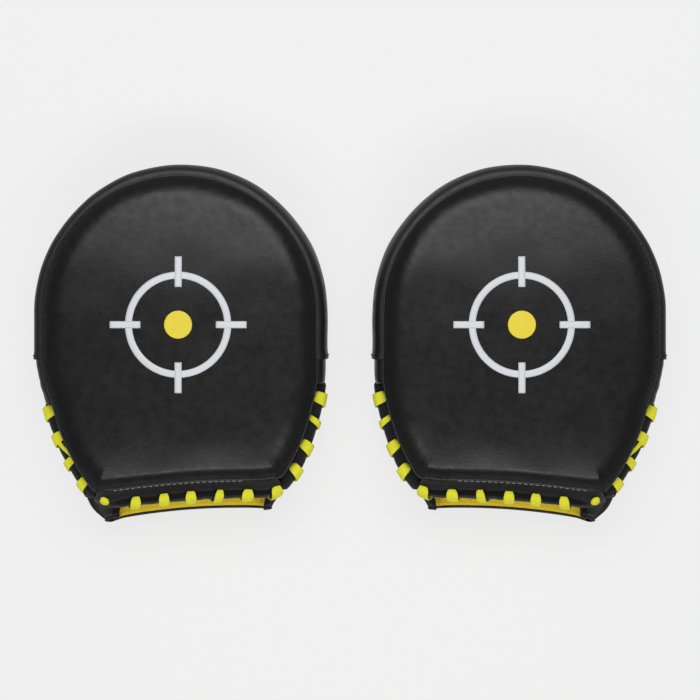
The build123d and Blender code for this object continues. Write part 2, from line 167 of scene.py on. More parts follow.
# Lights: name, place, what it faces, size and watts.
SOFTBOXES = (
    ("overhead", (0, 0.75, 1.45), (0, 0.05, 0.05), (1.3, 0.75), 19),
    ("wrist_side", (0, -0.78, 1.35), (0, -0.05, 0.05), (1.3, 0.4), 13),
)


# ---- Small mathematics -----------------------------------------------------------------------
def smooth(low, high, value):
    """0 below low, 1 above high and a smooth step between; low may be the larger."""
    t = np.clip((np.asarray(value, float) - low) / (high - low), 0.0, 1.0)
    return t * t * (3 - 2 * t)


def unit(vectors):
    return vectors / np.maximum(np.linalg.norm(vectors, axis=-1, keepdims=True), 1e-9)


def at_height(plan, z):
    """Plan points with a third column, the same for all or one value for each."""
    return np.concatenate([plan, np.broadcast_to(z, len(plan))[:, None]], 1)


def waves(points, length, seed):
    """Gentle unevenness between -1 and 1 with bumps about this long."""
    draw = np.random.default_rng(seed)
    wave_count, spread, full_turn = 7, 4.5, 6.28
    total = 0.0
    for _ in range(wave_count):
        heading = unit(draw.normal(size=points.shape[-1]))
        rate = full_turn / length * draw.uniform(0.6, 1.5)
        total = total + np.sin(points @ heading * rate + draw.uniform(0, full_turn))
    return total / spread


def rounded(points, rounds=2, closed=True):
    """A polygon with its corners cut, over and over, until it is a curve."""
    points = np.asarray(points, float)
    for _ in range(rounds):
        after = np.roll(points, -1, 0) if closed else points[1:]
        before = points if closed else points[:-1]
        cut = np.stack([0.75 * before + 0.25 * after, 0.25 * before + 0.75 * after], 1)
        cut = cut.reshape(-1, points.shape[1])
        points = cut if closed else np.concatenate([points[:1], cut, points[-1:]])
    return points


def ellipse(half_width, half_height, count=10):
    turn = np.linspace(0, 2 * np.pi, count, endpoint=False)
    return np.stack([half_width * np.cos(turn), half_height * np.sin(turn)], 1)


def flat_strip(width, thickness):
    """Section of a strip with rounded edges, its underside at 0."""
    half, edge = width / 2, thickness / 2
    corners = [(-half, edge), (-half + edge, 0), (half - edge, 0), (half, edge), (half - edge, thickness)]
    corners += [(0, thickness * 1.12), (-half + edge, thickness)]
    return rounded(corners, 1)


# ---- The outline of the mitt -----------------------------------------------------------------
def direction(angle):
    return np.array([math.cos(math.radians(angle)), math.sin(math.radians(angle))])


WRIST_NORMAL = direction(WRIST_ANGLE)


def lower_corner(side):
    """Centres of one lower side curve and of its corner arc, and the angle at which they meet."""
    side_centre = np.array([side * (HALF_WIDTH - LOWER_RADIUS), SIDE_FOOT_Y])
    reach = WRIST_REACH - CORNER_RADIUS - side_centre @ WRIST_NORMAL
    corner_distance = LOWER_RADIUS - CORNER_RADIUS
    meeting = WRIST_ANGLE + side * math.degrees(math.acos(reach / corner_distance))
    return side_centre, side_centre + corner_distance * direction(meeting), meeting


def outline_table():
    """Dense points, outward normals and lengths round the outline, from the thumb side over the top."""
    left_side, left_corner, left_meeting = lower_corner(-1)
    right_side, right_corner, right_meeting = lower_corner(1)
    arcs = (
        (np.array([0.0, DOME_Y]), HALF_WIDTH, 0.0, 180.0),
        (left_side, LOWER_RADIUS, 180.0, left_meeting + 360),
        (left_corner, CORNER_RADIUS, left_meeting + 360, WRIST_ANGLE + 360),
        (right_corner, CORNER_RADIUS, WRIST_ANGLE, right_meeting),
        (right_side, LOWER_RADIUS, right_meeting, 0.0),
    )
    points, normals = [], []
    for centre, radius, start, end in arcs:
        for angle in np.linspace(start, end, 120):
            normals.append(direction(angle))
            points.append(centre + radius * normals[-1])
    points.append(points[0])
    normals.append(normals[0])
    points, normals = np.array(points), np.array(normals)
    lengths = np.concatenate([[0], np.cumsum(np.linalg.norm(np.diff(points, axis=0), axis=1))])
    return points, normals, lengths


OUTLINE, OUTLINE_NORMALS, OUTLINE_LENGTHS = outline_table()
PERIMETER = OUTLINE_LENGTHS[-1]


def rim(stations):
    """Points and outward normals of the outline at these lengths along it."""
    stations = np.asarray(stations, float) % PERIMETER
    points = np.stack([np.interp(stations, OUTLINE_LENGTHS, OUTLINE[:, i]) for i in (0, 1)], -1)
    normals = np.stack([np.interp(stations, OUTLINE_LENGTHS, OUTLINE_NORMALS[:, i]) for i in (0, 1)], -1)
    return points, unit(normals)


def station_at(side, reach):
    """Length along the outline at which one side crosses a distance towards the wrist."""
    reaches = OUTLINE @ WRIST_NORMAL
    own_side = OUTLINE[:, 0] * side > HALF_WIDTH * 0.4
    return OUTLINE_LENGTHS[np.argmin(np.where(own_side, np.abs(reaches - reach), 1e9))]


def station_at_x(x):
    """Length along the outline at which the wrist edge crosses this X."""
    low_edge = OUTLINE[:, 1] < -60
    crossing = np.interp(x, OUTLINE[low_edge, 0], np.flatnonzero(low_edge))
    return np.interp(crossing, np.arange(len(OUTLINE_LENGTHS)), OUTLINE_LENGTHS)


def blurred(values, reach):
    """Values evenly spaced round a closed curve, averaged over this many places to each side."""
    places = np.arange(-2 * reach, 2 * reach + 1)
    weights = np.exp(-((places / reach) ** 2))
    return sum(w * np.roll(values, place, 0) for place, w in zip(places, weights)) / weights.sum()


def seam_table():
    """Face seam, one point a millimetre round the outline, with the outward directions of its shoulder."""
    points, normals = rim(np.arange(round(PERIMETER)))
    at_wrist = smooth(0.55, 1.0, normals @ WRIST_NORMAL)
    arch = np.cos(np.clip(points[:, 0] / 62, -1, 1) * np.pi / 2)
    low_side = smooth(-15, -50, points[:, 1]) * (1 - at_wrist)
    seam = points - normals * (SEAM_INSET + SEAM_SIDE_INSET * low_side)[:, None]
    seam = seam - WRIST_NORMAL * ((SEAM_WRIST_INSET + SEAM_ARCH * arch) * at_wrist)[:, None]
    sideways = 0.6 - 3.0 * smooth(-50, 0, points[:, 1])
    seam = blurred(seam + np.stack([sideways, np.full_like(sideways, -2.2)], -1), 5)
    forward = np.roll(seam, -1, 0) - np.roll(seam, 1, 0)
    outward = unit(np.stack([forward[:, 1], -forward[:, 0]], -1))
    return seam, unit(blurred(outward, 14))


def crown_z(x, y):
    """Height of the face without its shoulder: crowned across, and bent down at both ends."""
    fall = 0.00022 * x**2 + 0.00072 * np.maximum(y - 12, 0) ** 2 + 0.0016 * np.maximum(-52 - y, 0) ** 2
    return CROWN_Z - fall + 0.28 * waves(np.stack([x, y], -1), 55, 3)


SEAM, SEAM_OUTWARD = seam_table()


def shoulder_table():
    """Top edge of the face's rounded shoulder in the plan, its height and how squarely it bends."""
    to_wrist = SEAM_OUTWARD @ WRIST_NORMAL
    low_side = smooth(-20, -75, SEAM[:, 1]) * smooth(0.9, 0.3, to_wrist)
    at_wrist = smooth(0.7, 1.0, to_wrist)
    at_top = smooth(0.2, 0.9, SEAM_OUTWARD[:, 1])
    width = SHOULDER_WIDTH + SIDE_WIDER * low_side - WRIST_NARROWER * at_wrist - TOP_NARROWER * at_top
    height = SHOULDER - WRIST_DROP * at_wrist - TOP_DROP * at_top
    bend = 3.0 - 0.9 * at_wrist
    edge = SEAM - SEAM_OUTWARD * width[:, None]
    return blurred(np.concatenate([edge, height[:, None], bend[:, None]], 1), 12)


SHOULDER_TOP = shoulder_table()


def round_table(table, stations):
    """Rows of a table that has one a millimetre round the outline."""
    places = np.asarray(stations, float) % PERIMETER
    closed = np.concatenate([table, table[:1]])
    at = np.append(np.arange(len(table)), PERIMETER)
    return np.stack([np.interp(places, at, column) for column in closed.T], -1)


def seam_plan(stations):
    """Plan points of the face seam."""
    return round_table(SEAM, stations)


def seam_z(stations):
    seam = seam_plan(stations)
    return crown_z(seam[:, 0], seam[:, 1]) - round_table(SHOULDER_TOP, stations)[:, 2]


def band(stations, profile, grow=0.0):
    """Cross-sections of a band along the rim, one closed ring for each station.

    The profile holds (inset, share, rise) round the section: share is how far it follows the face
    seam in the plan, and rise goes from 0 at the back seam to 1 at the face seam.
    """
    profile = np.asarray(profile, float)
    points, normals = rim(stations)
    inset, share, rise = (profile[None, :, i, None] for i in range(3))
    grow = np.broadcast_to(np.asarray(grow, float), (len(points),))[:, None, None]
    offset = seam_plan(stations) - (points - SEAM_INSET * normals)
    plan = points[:, None] - normals[:, None] * (inset - grow) + share * offset[:, None]
    height = BACK_SEAM_Z + (seam_z(stations)[:, None, None] - BACK_SEAM_Z) * rise
    return np.concatenate([plan, height], -1)


def spaced(start, end, step):
    return np.linspace(start, end, max(2, int(abs(end - start) / step) + 1))


def round_the_rim(step):
    return np.arange(0, PERIMETER - step / 2, PERIMETER / round(PERIMETER / step))


# ---- Meshes ----------------------------------------------------------------------------------
def add_walls(mesh, uv_layer, verts, rings, loop):
    """Faces between rings of points, with lengths in millimetres as their UVs."""
    count, around = rings.shape[:2]
    along_step = np.linalg.norm(np.diff(rings, axis=0), axis=2).mean(1)
    along = np.concatenate([[0], np.cumsum(along_step)])
    round_step = np.linalg.norm(rings - np.roll(rings, -1, 1), axis=2).mean(0)
    turn = np.concatenate([[0], np.cumsum(round_step)])
    for i in range(count if loop else count - 1):
        j = (i + 1) % count
        end = along[i] + (along_step[-1] if j == 0 else along_step[i])
        for k in range(around):
            m = (k + 1) % around
            face = mesh.faces.new((verts[i][k], verts[i][m], verts[j][m], verts[j][k]))
            corners = ((along[i], turn[k]), (along[i], turn[k + 1]), (end, turn[k + 1]), (end, turn[k]))
            for corner, uv in zip(face.loops, corners):
                corner[uv_layer].uv = uv


def close_end(mesh, ring, middle, folded):
    """Faces across an open end: straight across a folded section, or else from a middle point."""
    around = len(ring)
    if folded:
        for k in range(around // 2 - 1):
            mesh.faces.new((ring[k], ring[k + 1], ring[-k - 2], ring[-k - 1]))
    else:
        hub = mesh.verts.new(middle)
        for k in range(around):
            mesh.faces.new((ring[k], ring[(k + 1) % around], hub))


def skin_mesh(name, skins, side):
    """Mesh of closed skins. Each is (rings, ends): rings of points, joined in order, whose ends meet
    ("loop"), are closed from a middle point ("round"), or, where the second half of a ring goes back
    along the first, are closed straight across ("folded")."""
    mesh = bmesh.new()
    uv_layer = mesh.loops.layers.uv.new("UVMap")
    mirror = [1 if side == "right" else -1, 1, 1]
    for rings, ends in skins:
        rings = np.asarray(rings, float)
        world = (rings + [MITT_X, MITT_Y, 0]) * MM * mirror
        verts = [[mesh.verts.new(place) for place in ring] for ring in world]
        add_walls(mesh, uv_layer, verts, rings, ends == "loop")
        for index in () if ends == "loop" else (0, -1):
            close_end(mesh, verts[index], world[index].mean(0), ends == "folded")
    bmesh.ops.remove_doubles(mesh, verts=mesh.verts, dist=1e-7)
    bmesh.ops.recalc_face_normals(mesh, faces=mesh.faces)
    data = bpy.data.meshes.new(name)
    mesh.to_mesh(data)
    mesh.free()
    data.shade_smooth()
    return data


def piece(side, name, skins, look, nodes=(), body="mitt"):
    """One object of a mitt, in place of its CAD nodes."""
    name = f"{side}_{name}"
    obj = bpy.data.objects.new(name, skin_mesh(name, skins, side))
    bpy.context.collection.objects.link(obj)
    obj.data.materials.append(LOOKS[look])
    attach(obj, f"{side}_{body}")
    if nodes:
        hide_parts(*[f"{side}_{node}" for node in nodes])
    return obj


def node_ranges(side, node):
    """A CAD node's ranges in the right mitt's own plan, in millimetres."""
    low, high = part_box(f"{side}_{node}")
    sign = 1 if side == "right" else -1
    xs = sorted((sign * low.x / MM - MITT_X, sign * high.x / MM - MITT_X))
    return tuple(xs), (low.y / MM - MITT_Y, high.y / MM - MITT_Y), (low.z / MM, high.z / MM)


def swept(path, across, up, profile):
    """Rings of a flat or round profile carried along a path. Profile points are (across, up)."""
    across, up = (np.broadcast_to(way, path.shape)[:, None] for way in (across, up))
    return path[:, None] + across * profile[..., :1] + up * profile[..., 1:]


def tangents(path):
    return unit(np.gradient(path, axis=0))


def stitch_row(path, up, pitch, length, radius):
    """Separate thread stitches along a path, each dipping into the leather at its ends."""
    up = np.broadcast_to(up, path.shape)
    lengths = np.concatenate([[0], np.cumsum(np.linalg.norm(np.diff(path, axis=0), axis=1))])
    stitches = []
    for start in np.arange(pitch / 2, lengths[-1] - length, pitch):
        at = start + length * np.linspace(0, 1, 5)
        run = np.stack([np.interp(at, lengths, path[:, i]) for i in range(3)], -1)
        rise = unit(np.stack([np.interp(at, lengths, up[:, i]) for i in range(3)], -1))
        run = run + rise * (radius * np.array([-0.8, 0.3, 0.6, 0.3, -0.8]))[:, None]
        sides = unit(np.cross(tangents(run), rise))
        swell = np.array([0.55, 0.95, 1.0, 0.95, 0.55])[:, None, None]
        stitches.append((swept(run, sides, rise, ellipse(radius, radius, 6) * swell), "round"))
    return stitches


def soft_slab(box, corner, edge):
    """Rings, from edge to edge along Y, of a soft flat piece with rounded corners and edges."""
    (x0, x1), (y0, y1), (z0, z1) = box
    middle = (z0 + z1) / 2
    rounding = edge * np.array([0, 0.1, 0.35, 0.7])
    ys = np.unique(np.concatenate([y0 + rounding, spaced(y0, y1, 3.0)[1:-1], y1 - rounding]))
    rings = []
    for y in ys:
        from_end = min(y - y0, y1 - y)
        cut = corner - math.sqrt(max(corner**2 - max(corner - from_end, 0.0) ** 2, 0.0))
        slim = math.sqrt(max(1 - max(1 - from_end / edge, 0.0) ** 2, 0.0)) * 0.85 + 0.15
        half = (z1 - z0) / 2 * slim
        left, right = x0 + cut, x1 - cut
        xs = np.linspace(left + half, right - half, 24)
        lower = np.stack([xs, np.full_like(xs, middle - half)], 1)
        upper = np.stack([xs[::-1], np.full_like(xs, middle + half)], 1)
        nose = [(0.7, -0.7), (1, 0), (0.7, 0.7)] * np.array(half)
        section = np.concatenate([lower, nose + [right - half, middle], upper, [left + half, middle] - nose])
        rings.append(np.stack([section[:, 0], np.full(len(section), y), section[:, 1]], 1))
    return np.array(rings)


# ---- Materials -------------------------------------------------------------------------------
def new_material(name, roughness, metallic=0.0, sheen=0.0, coat=0.0):
    """Empty material and the node that everything else is joined to."""
    material = bpy.data.materials.new(name)
    material.use_nodes = True
    shader = material.node_tree.nodes["Principled BSDF"]
    shader.inputs["Roughness"].default_value = roughness
    shader.inputs["Metallic"].default_value = metallic
    shader.inputs["Sheen Weight"].default_value = sheen
    shader.inputs["Coat Weight"].default_value = coat
    return material, shader


def add_node(material, kind, inputs=None, **settings):
    node = material.node_tree.nodes.new(kind)
    for key, value in settings.items():
        setattr(node, key, value)
    for key, value in (inputs or {}).items():
        if isinstance(value, bpy.types.NodeSocket):
            material.node_tree.links.new(value, node.inputs[key])
        else:
            node.inputs[key].default_value = value
    return node


def noise(material, scale, detail=3.0, rough=0.55):
    """Noise over the piece's own coordinates; scale is in bumps per metre."""
    place = add_node(material, "ShaderNodeTexCoord").outputs["Object"]
    settings = {"Vector": place, "Scale": scale, "Detail": detail, "Roughness": rough}
    return add_node(material, "ShaderNodeTexNoise", settings).outputs["Fac"]


def remap(material, value, low, high, from_low=0.3, from_high=0.7):
    """The value's usual range stretched to another one."""
    settings = {"Value": value, "From Min": from_low, "From Max": from_high, "To Min": low, "To Max": high}
    return add_node(material, "ShaderNodeMapRange", settings).outputs["Result"]


def paint(material, shader, factor, dark, light):
    """Base colour that goes from dark to light with the factor."""
    mixer = add_node(material, "ShaderNodeMix", data_type="RGBA")
    material.node_tree.links.new(factor, mixer.inputs["Factor"])
    mixer.inputs["A"].default_value = (*dark, 1.0)
    mixer.inputs["B"].default_value = (*light, 1.0)
    material.node_tree.links.new(mixer.outputs["Result"], shader.inputs["Base Color"])


def math_node(material, operation, first, second=0.0):
    return add_node(material, "ShaderNodeMath", {0: first, 1: second}, operation=operation).outputs[0]


def bump(material, shader, height, distance, strength=1.0):
    """Raises the surface; a second call adds to the first."""
    settings = {"Height": height, "Distance": distance, "Strength": strength}
    node = add_node(material, "ShaderNodeBump", settings)
    normal = shader.inputs["Normal"]
    if normal.is_linked:
        material.node_tree.links.new(normal.links[0].from_socket, node.inputs["Normal"])
    material.node_tree.links.new(node.outputs["Normal"], normal)


def polish(material, shader, value, low, high):
    """Roughness between low and high, as the value has it."""
    material.node_tree.links.new(remap(material, value, low, high), shader.inputs["Roughness"])


def leather(name, dark, light, roughness, grain=0.00006, gloss=0.22):
    """Coated leather: fine pebble grain, faint clouding and uneven polish."""
    material, shader = new_material(name, roughness)
    shader.inputs["Specular IOR Level"].default_value = gloss
    clouds = noise(material, 28.0, 4.0)
    paint(material, shader, clouds, dark, light)
    polish(material, shader, noise(material, 160.0, 5.0), roughness - 0.05, roughness + 0.07)
    place = add_node(material, "ShaderNodeTexCoord").outputs["Object"]
    settings = {"Vector": place, "Scale": 1500.0}
    pebbles = add_node(material, "ShaderNodeTexVoronoi", settings, feature="SMOOTH_F1")
    bump(material, shader, pebbles.outputs["Distance"], grain, 0.5)
    bump(material, shader, noise(material, 420.0, 3.0), grain * 2.0, 0.5)
    return material


def uv_axes(material):
    """The piece's own length (X) and width (Y), in millimetres."""
    place = add_node(material, "ShaderNodeTexCoord").outputs["UV"]
    return add_node(material, "ShaderNodeSeparateXYZ", {0: place}).outputs


def wave_of(material, distance, pitch):
    """Wave between 0 and 1 of one pitch along a distance."""
    wave = math_node(material, "SINE", math_node(material, "MULTIPLY", distance, FULL_TURN / pitch))
    return remap(material, wave, 0.0, 1.0, -1.0, 1.0)


def ribs(material, pitch, along="X"):
    """Ribs of one pitch, in millimetres, along the piece's length (X) or width (Y)."""
    return wave_of(material, uv_axes(material)[along], pitch)


def woven(name, dark, light, roughness, length_pitch, width_pitch, depth, sheen=0.2, twill=False):
    """Cloth or webbing, with yarns of these pitches in millimetres, raised by depth in metres."""
    material, shader = new_material(name, roughness, sheen=sheen)
    shader.inputs["Specular IOR Level"].default_value = 0.25
    shader.inputs["Sheen Roughness"].default_value = 0.5
    warp = ribs(material, length_pitch, "X")
    weft = ribs(material, width_pitch, "Y")
    if twill:
        axes = uv_axes(material)
        warp = wave_of(material, math_node(material, "ADD", axes["X"], axes["Y"]), length_pitch)
    yarns = math_node(material, "MULTIPLY", warp, weft)
    fuzz = noise(material, 900.0, 4.0)
    yarn_shade = math_node(material, "MULTIPLY", yarns, 0.7)
    fuzz_shade = math_node(material, "MULTIPLY", fuzz, 0.3)
    shade = math_node(material, "ADD", yarn_shade, fuzz_shade)
    paint(material, shader, shade, dark, light)
    height = math_node(material, "ADD", yarns, math_node(material, "MULTIPLY", fuzz, 0.4))
    bump(material, shader, height, depth)
    return material


def ink(name, dark, light):
    """Screen print: flat ink with a faint mottle where it takes up the leather's grain."""
    material, shader = new_material(name, 0.42)
    mottle = noise(material, 700.0, 5.0)
    paint(material, shader, mottle, dark, light)
    polish(material, shader, noise(material, 260.0), 0.34, 0.5)
    bump(material, shader, noise(material, 1400.0, 2.0), 0.00005, 0.5)
    return material


def foam(name, dark, light):
    material, shader = new_material(name, 0.95, sheen=0.1)
    place = add_node(material, "ShaderNodeTexCoord").outputs["Object"]
    cells = add_node(material, "ShaderNodeTexVoronoi", {"Vector": place, "Scale": 900.0}).outputs["Distance"]
    paint(material, shader, cells, dark, light)
    bump(material, shader, cells, 0.0003, 0.7)
    return material


def board():
    material, shader = new_material("board", 0.6)
    fibres = noise(material, 350.0, 6.0)
    paint(material, shader, fibres, (0.02, 0.02, 0.021), (0.05, 0.048, 0.045))
    bump(material, shader, fibres, 0.0002, 0.6)
    return material


def hook_and_loop():
    """Brushed pile of the closure."""
    material, shader = new_material("hook_and_loop", 0.95, sheen=0.6)
    pile = noise(material, 2600.0, 5.0, rough=0.7)
    paint(material, shader, pile, (0.008, 0.008, 0.009), (0.035, 0.035, 0.037))
    bump(material, shader, pile, 0.0006, 0.9)
    return material


def thread(name, colour):
    material, shader = new_material(name, 0.75, sheen=0.03)
    shader.inputs["Specular IOR Level"].default_value = 0.2
    pale = tuple(min(channel * 1.7 + 0.01, 1.0) for channel in colour)
    twist = ribs(material, 0.7, "X")
    paint(material, shader, twist, colour, pale)
    bump(material, shader, twist, 0.0001, 0.6)
    return material


def rivet_gloss():
    material, shader = new_material("rivet", 0.16, metallic=0.6, coat=0.4)
    scuff = noise(material, 900.0, 4.0)
    paint(material, shader, scuff, (0.012, 0.012, 0.013), (0.03, 0.03, 0.03))
    polish(material, shader, scuff, 0.12, 0.3)
    return material


LOOKS = {
    "face_leather": leather("face_leather", (0.0050, 0.0050, 0.0051), (0.0080, 0.0079, 0.0077), 0.33),
    "gusset_leather": leather(
        "gusset_leather", (0.0040, 0.0040, 0.0042), (0.0066, 0.0064, 0.0064), 0.47, gloss=0.36
    ),
    # Back leather: its base colour is lifted above the other leathers as painted sheen, so its upturned
    # corners at the mouth look lit.
    "back_leather": leather(
        "back_leather", (0.0110, 0.0110, 0.0114), (0.0175, 0.0171, 0.0172), 0.42, 0.00009
    ),
    "webbing": woven("webbing", (0.0028, 0.0028, 0.003), (0.0085, 0.0085, 0.009), 0.8, 1.7, 2.4, 0.0003, 0.1),
    "lace": woven("lace", (0.62, 0.61, 0.014), (0.78, 0.76, 0.05), 0.8, 0.8, 1.1, 0.00012, 0.04),
    "lining": woven("lining", (0.85, 0.63, 0.018), (0.95, 0.78, 0.04), 0.75, 0.9, 0.9, 0.00012, 0.2, True),
    "print_white": ink("print_white", (0.50, 0.52, 0.545), (0.57, 0.59, 0.615)),
    "print_yellow": ink("print_yellow", (0.60, 0.47, 0.016), (0.70, 0.57, 0.03)),
    "thread": thread("thread", (0.004, 0.004, 0.0042)),
    "foam": foam("foam", (0.012, 0.012, 0.013), (0.05, 0.05, 0.052)),
    "board": board(),
    "elastic": woven("elastic", (0.006, 0.006, 0.0065), (0.022, 0.022, 0.023), 0.7, 1.1, 2.0, 0.0003, 0.2),
    "strap": woven("strap", (0.006, 0.006, 0.0065), (0.02, 0.02, 0.021), 0.7, 1.3, 1.3, 0.00025, 0.2),
    "hook_and_loop": hook_and_loop(),
    "rivet": rivet_gloss(),
    "lip_leather": leather(
        "lip_leather", (0.0034, 0.0034, 0.0036), (0.0056, 0.0055, 0.0055), 0.45, 0.00008, 0.1
    ),
    "pale_thread": thread("pale_thread", (0.16, 0.16, 0.155)),
}
KEPT_NODES = {
    "core_foam": "foam",
    "backing_board": "board",
    "palm_panel": "back_leather",
    "corner_rivet": "rivet",
}


# ---- Striking pad ----------------------------------------------------------------------------
def face_point(stations, across):
    """Point of the face's outside: across is 0 at the seam and 1 at the top of the shoulder."""
    seam = seam_plan(stations)
    shoulder = round_table(SHOULDER_TOP, stations)
    plan = seam + (shoulder[:, :2] - seam) * across
    swell = 1 - (1 - across) ** shoulder[:, 3]
    base = crown_z(plan[:, 0], plan[:, 1])
    pucker = 0.35 * (1 - across) ** 2 * np.sin(across * 9) * waves(seam, 6.5, 11)
    fullness = 0.25 * across * (1 - across) * waves(seam, 24, 5)
    z = seam_z(stations) * (1 - swell) + base * swell + pucker + fullness
    return at_height(plan, z)


def crown_rings(stations):
    """Rings from the top of the shoulder to the middle of the face."""
    edge = face_point(stations, 1.0)
    rings = []
    for share in np.linspace(0.965, 0.02, 34):
        plan = FACE_MIDDLE + (edge[:, :2] - FACE_MIDDLE) * share
        rings.append(at_height(plan, crown_z(plan[:, 0], plan[:, 1])))
    return rings


def inner_skin(rings, depth):
    """The same rings a layer further in: lower, and towards the middle at the shoulder."""
    shrunk = []
    for ring in rings:
        inwards = FACE_MIDDLE - ring[:, :2]
        steep = smooth(0.86, 1.0, np.abs(inwards).max(1) / HALF_WIDTH)[:, None]
        plan = ring[:, :2] + unit(inwards) * depth * steep
        shrunk.append(np.concatenate([plan, ring[:, 2:] - depth], 1))
    return shrunk


def face_panel(side):
    """Crowned striking face of padded leather."""
    stations = round_the_rim(RIM_STEP)
    shoulder = [face_point(stations, across) for across in np.linspace(0, 1, 15) ** 1.35]
    outside = shoulder + crown_rings(stations)
    skin = inner_skin(outside, SKIN)[::-1] + outside
    piece(side, "face_panel", [(skin, "round")], "face_leather", ["face_cover"])


def face_foam(side):
    """Moulded foam under the striking face."""
    stations = round_the_rim(5)
    outside = [face_point(stations, 0.25), face_point(stations, 0.5), face_point(stations, 1.0)]
    outside += crown_rings(stations)[::3]
    top = inner_skin(outside, SKIN + 0.9)
    foot_plan = FACE_MIDDLE + (top[0][:, :2] - FACE_MIDDLE) * 0.94
    foot = [at_height(foot_plan, z) for z in (56.3, 60.0)]
    skins = [(np.array(foot + top), "round")]
    piece(side, "face_foam", skins, "foam", ["strike_foam"])


def edge_foam(side):
    """Foam roll inside the gussets."""
    stations = spaced(station_at(1, ROLL_REACH - 3) - PERIMETER, station_at(-1, ROLL_REACH - 3), 5)
    turn = np.linspace(0, 2 * np.pi, 14, endpoint=False)
    section = np.stack([8.2 - 4.0 * np.cos(turn), 0.5 + 0.3 * np.sin(turn), 0.5 + 0.36 * np.sin(turn)], 1)
    skins = [(band(stations, section), "round")]
    piece(side, "edge_foam", skins, "foam", ["edge_bolster"])


def seam_bead(side):
    """Folded leather edge caught in the face seam."""
    stations = round_the_rim(RIM_STEP)
    normals = rim(stations)[1]
    seam = at_height(seam_plan(stations) + normals * 0.3, seam_z(stations) - 0.2)
    swell = 1 + 0.12 * waves(seam, 9, 21)[:, None, None]
    skins = [(swept(seam, at_height(normals, 0.0), UP, ellipse(0.8, 0.6) * swell), "loop")]
    piece(side, "seam_bead", skins, "gusset_leather", ["seam_welt"])


def face_stitches(side):
    """Stitches along the face seam, and the pale row above the lip."""
    low_left, low_right = station_at_x(-52), station_at_x(48)
    around = spaced(low_right - PERIMETER, low_left, 1.5)
    path = face_point(around, 0.09)
    up = at_height(rim(around)[1] * 0.6, 0.8)
    piece(side, "face_stitches", stitch_row(path, up, *FACE_STITCH), "thread")
    low = spaced(low_left, low_right, 1.5)
    path = at_height(seam_plan(low) + rim(low)[1] * 1.3, seam_z(low) + 0.1)
    up = at_height(rim(low)[1] * 0.5, 0.85)
    piece(side, "lip_stitches", stitch_row(path, up, *LIP_STITCH), "pale_thread")


def gusset_profile(bulge):
    """Leather band bulging out between the back seam and the face seam, flatter above than below."""
    turn = np.linspace(0, np.pi, 21)
    level = np.cos(turn)
    rise = (1 + np.where(level > 0, np.abs(level) ** 0.62, level)) / 2
    outer = np.stack([SEAM_INSET - bulge * np.sin(turn) ** 0.85, rise, rise], 1)
    return np.concatenate([outer, outer[::-1] + [LEATHER, 0, 0]])


def gussets(side):
    """Upper gusset, whose ends lap over the two side gussets."""
    left, right = station_at(-1, SIDE_REACH), station_at(1, SIDE_REACH) - PERIMETER
    left_end, right_end = station_at(-1, ROLL_REACH + 1.5), station_at(1, ROLL_REACH + 1.5) - PERIMETER
    stations = spaced(right, left, RIM_STEP)
    points = rim(stations)[0]
    flare = 0.6 * np.maximum(smooth(7, 0, stations - right), smooth(7, 0, left - stations))
    grow = flare + 0.22 * waves(points, 30, 8) + 1.2 * smooth(90, 128, points[:, 1])
    upper = [(band(stations, gusset_profile(GUSSET_BULGE), grow), "folded")]
    piece(side, "upper_band", upper, "gusset_leather", ["upper_gusset"])
    lower = []
    for start, end in ((left - 6, left_end), (right_end, right + 6)):
        stations = spaced(start, end, RIM_STEP)
        grow = -0.9 + 0.3 * waves(rim(stations)[0], 12, 9)
        lower.append((band(stations, gusset_profile(SIDE_BULGE), grow), "folded"))
    piece(side, "side_bands", lower, "gusset_leather", ["side_gussets"])
    for name, station in (("left_cross_stitches", left - 2.5), ("right_cross_stitches", right + 2.5)):
        out = at_height(rim([station])[1], 0.0)
        run = band([station], gusset_profile(GUSSET_BULGE)[2:15])[0] + out * 0.5
        piece(side, name, stitch_row(run, out, *CROSS_STITCH), "thread")


def lower_wall(side):
    """Leather behind the laced roll, from the side gussets to the lip strip."""
    outer = rounded(LOWER_WALL, 2, False)
    profile = np.concatenate([outer, outer[::-1] + [LEATHER, 0, 0]])
    skins = []
    ends = (
        (station_at(-1, ROLL_REACH - 1), station_at_x(LIP_LEFT + 6)),
        (station_at_x(LIP_RIGHT - 5), station_at(1, ROLL_REACH - 1)),
    )
    for start, end in ends:
        skins.append((band(spaced(start, end, RIM_STEP), profile), "folded"))
    piece(side, "lower_wall", skins, "gusset_leather", ["lower_gusset"])


# ---- Lip and lacing --------------------------------------------------------------------------
LIP_OUTER = rounded(LIP_POINTS, 2, False)


def lip_sections(stations, profile):
    """Sections of the lip strip, whose edge arches back over the middle of the mouth."""
    points, normals = rim(stations)
    line = band(stations, profile)
    arch = LIP_ARCH * np.cos(np.clip(points[:, 0] / 64, -1, 1) * np.pi / 2)
    line[..., :2] -= normals[:, None] * arch[:, None, None]
    return line


